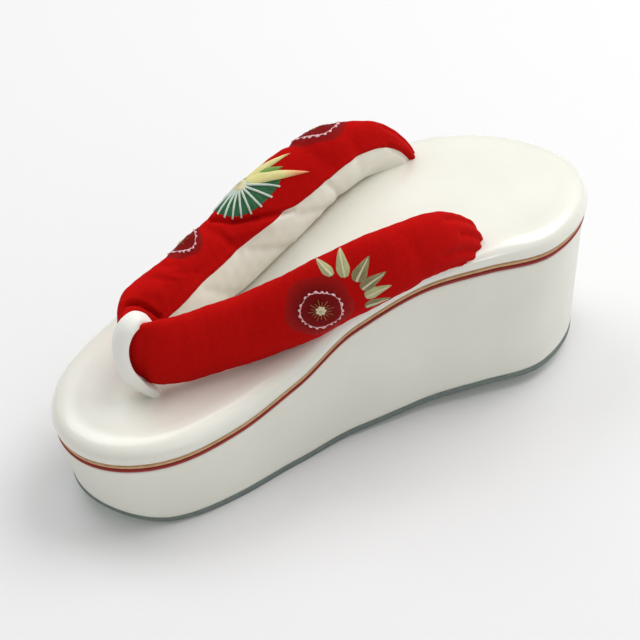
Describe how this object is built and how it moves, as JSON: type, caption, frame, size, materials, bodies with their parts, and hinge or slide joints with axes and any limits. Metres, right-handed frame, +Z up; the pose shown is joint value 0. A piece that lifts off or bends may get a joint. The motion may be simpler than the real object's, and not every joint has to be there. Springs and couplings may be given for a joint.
{
  "type": "zori sandal",
  "caption": "Platform zori for the right foot: white leather wedge with red and gold edge layers, padded footbed, padded cloth strap with floral embroidery, toe post and half-moon heel lift.",
  "frame": {"origin": "on the floor under the middle of the sandal's outer box", "axes": "+X runs from heel to toe, +Y to the inner side of the foot, +Z up from the floor"},
  "size_m": [0.24, 0.0982, 0.1072],
  "materials": {
    "outsole_leather": "embossed grain, satin",
    "wall_leather": "pearl white, smooth, semi gloss",
    "red_edge": "dark red, semi gloss",
    "gold_edge": "dull gold, semi gloss",
    "footbed_leather": "pearl white, smooth, semi gloss",
    "strap_cloth": "red crepe with embroidery, matte",
    "post_leather": "white, soft, satin",
    "lift_rubber": "ochre, moulded, matte",
    "nail_steel": "dark, dull"
  },
  "bodies": {
    "root": {"outsole": "outsole_leather", "platform": "wall_leather", "red_welt": "red_edge", "gold_welt": "gold_edge", "footbed": "footbed_leather", "strap": "strap_cloth", "toe_post": "post_leather", "heel_lift": "lift_rubber", "heel_nail_1": "nail_steel", "heel_nail_2": "nail_steel", "heel_nail_3": "nail_steel", "heel_nail_4": "nail_steel", "heel_nail_5": "nail_steel", "heel_nail_6": "nail_steel"}
  },
  "joints": []
}
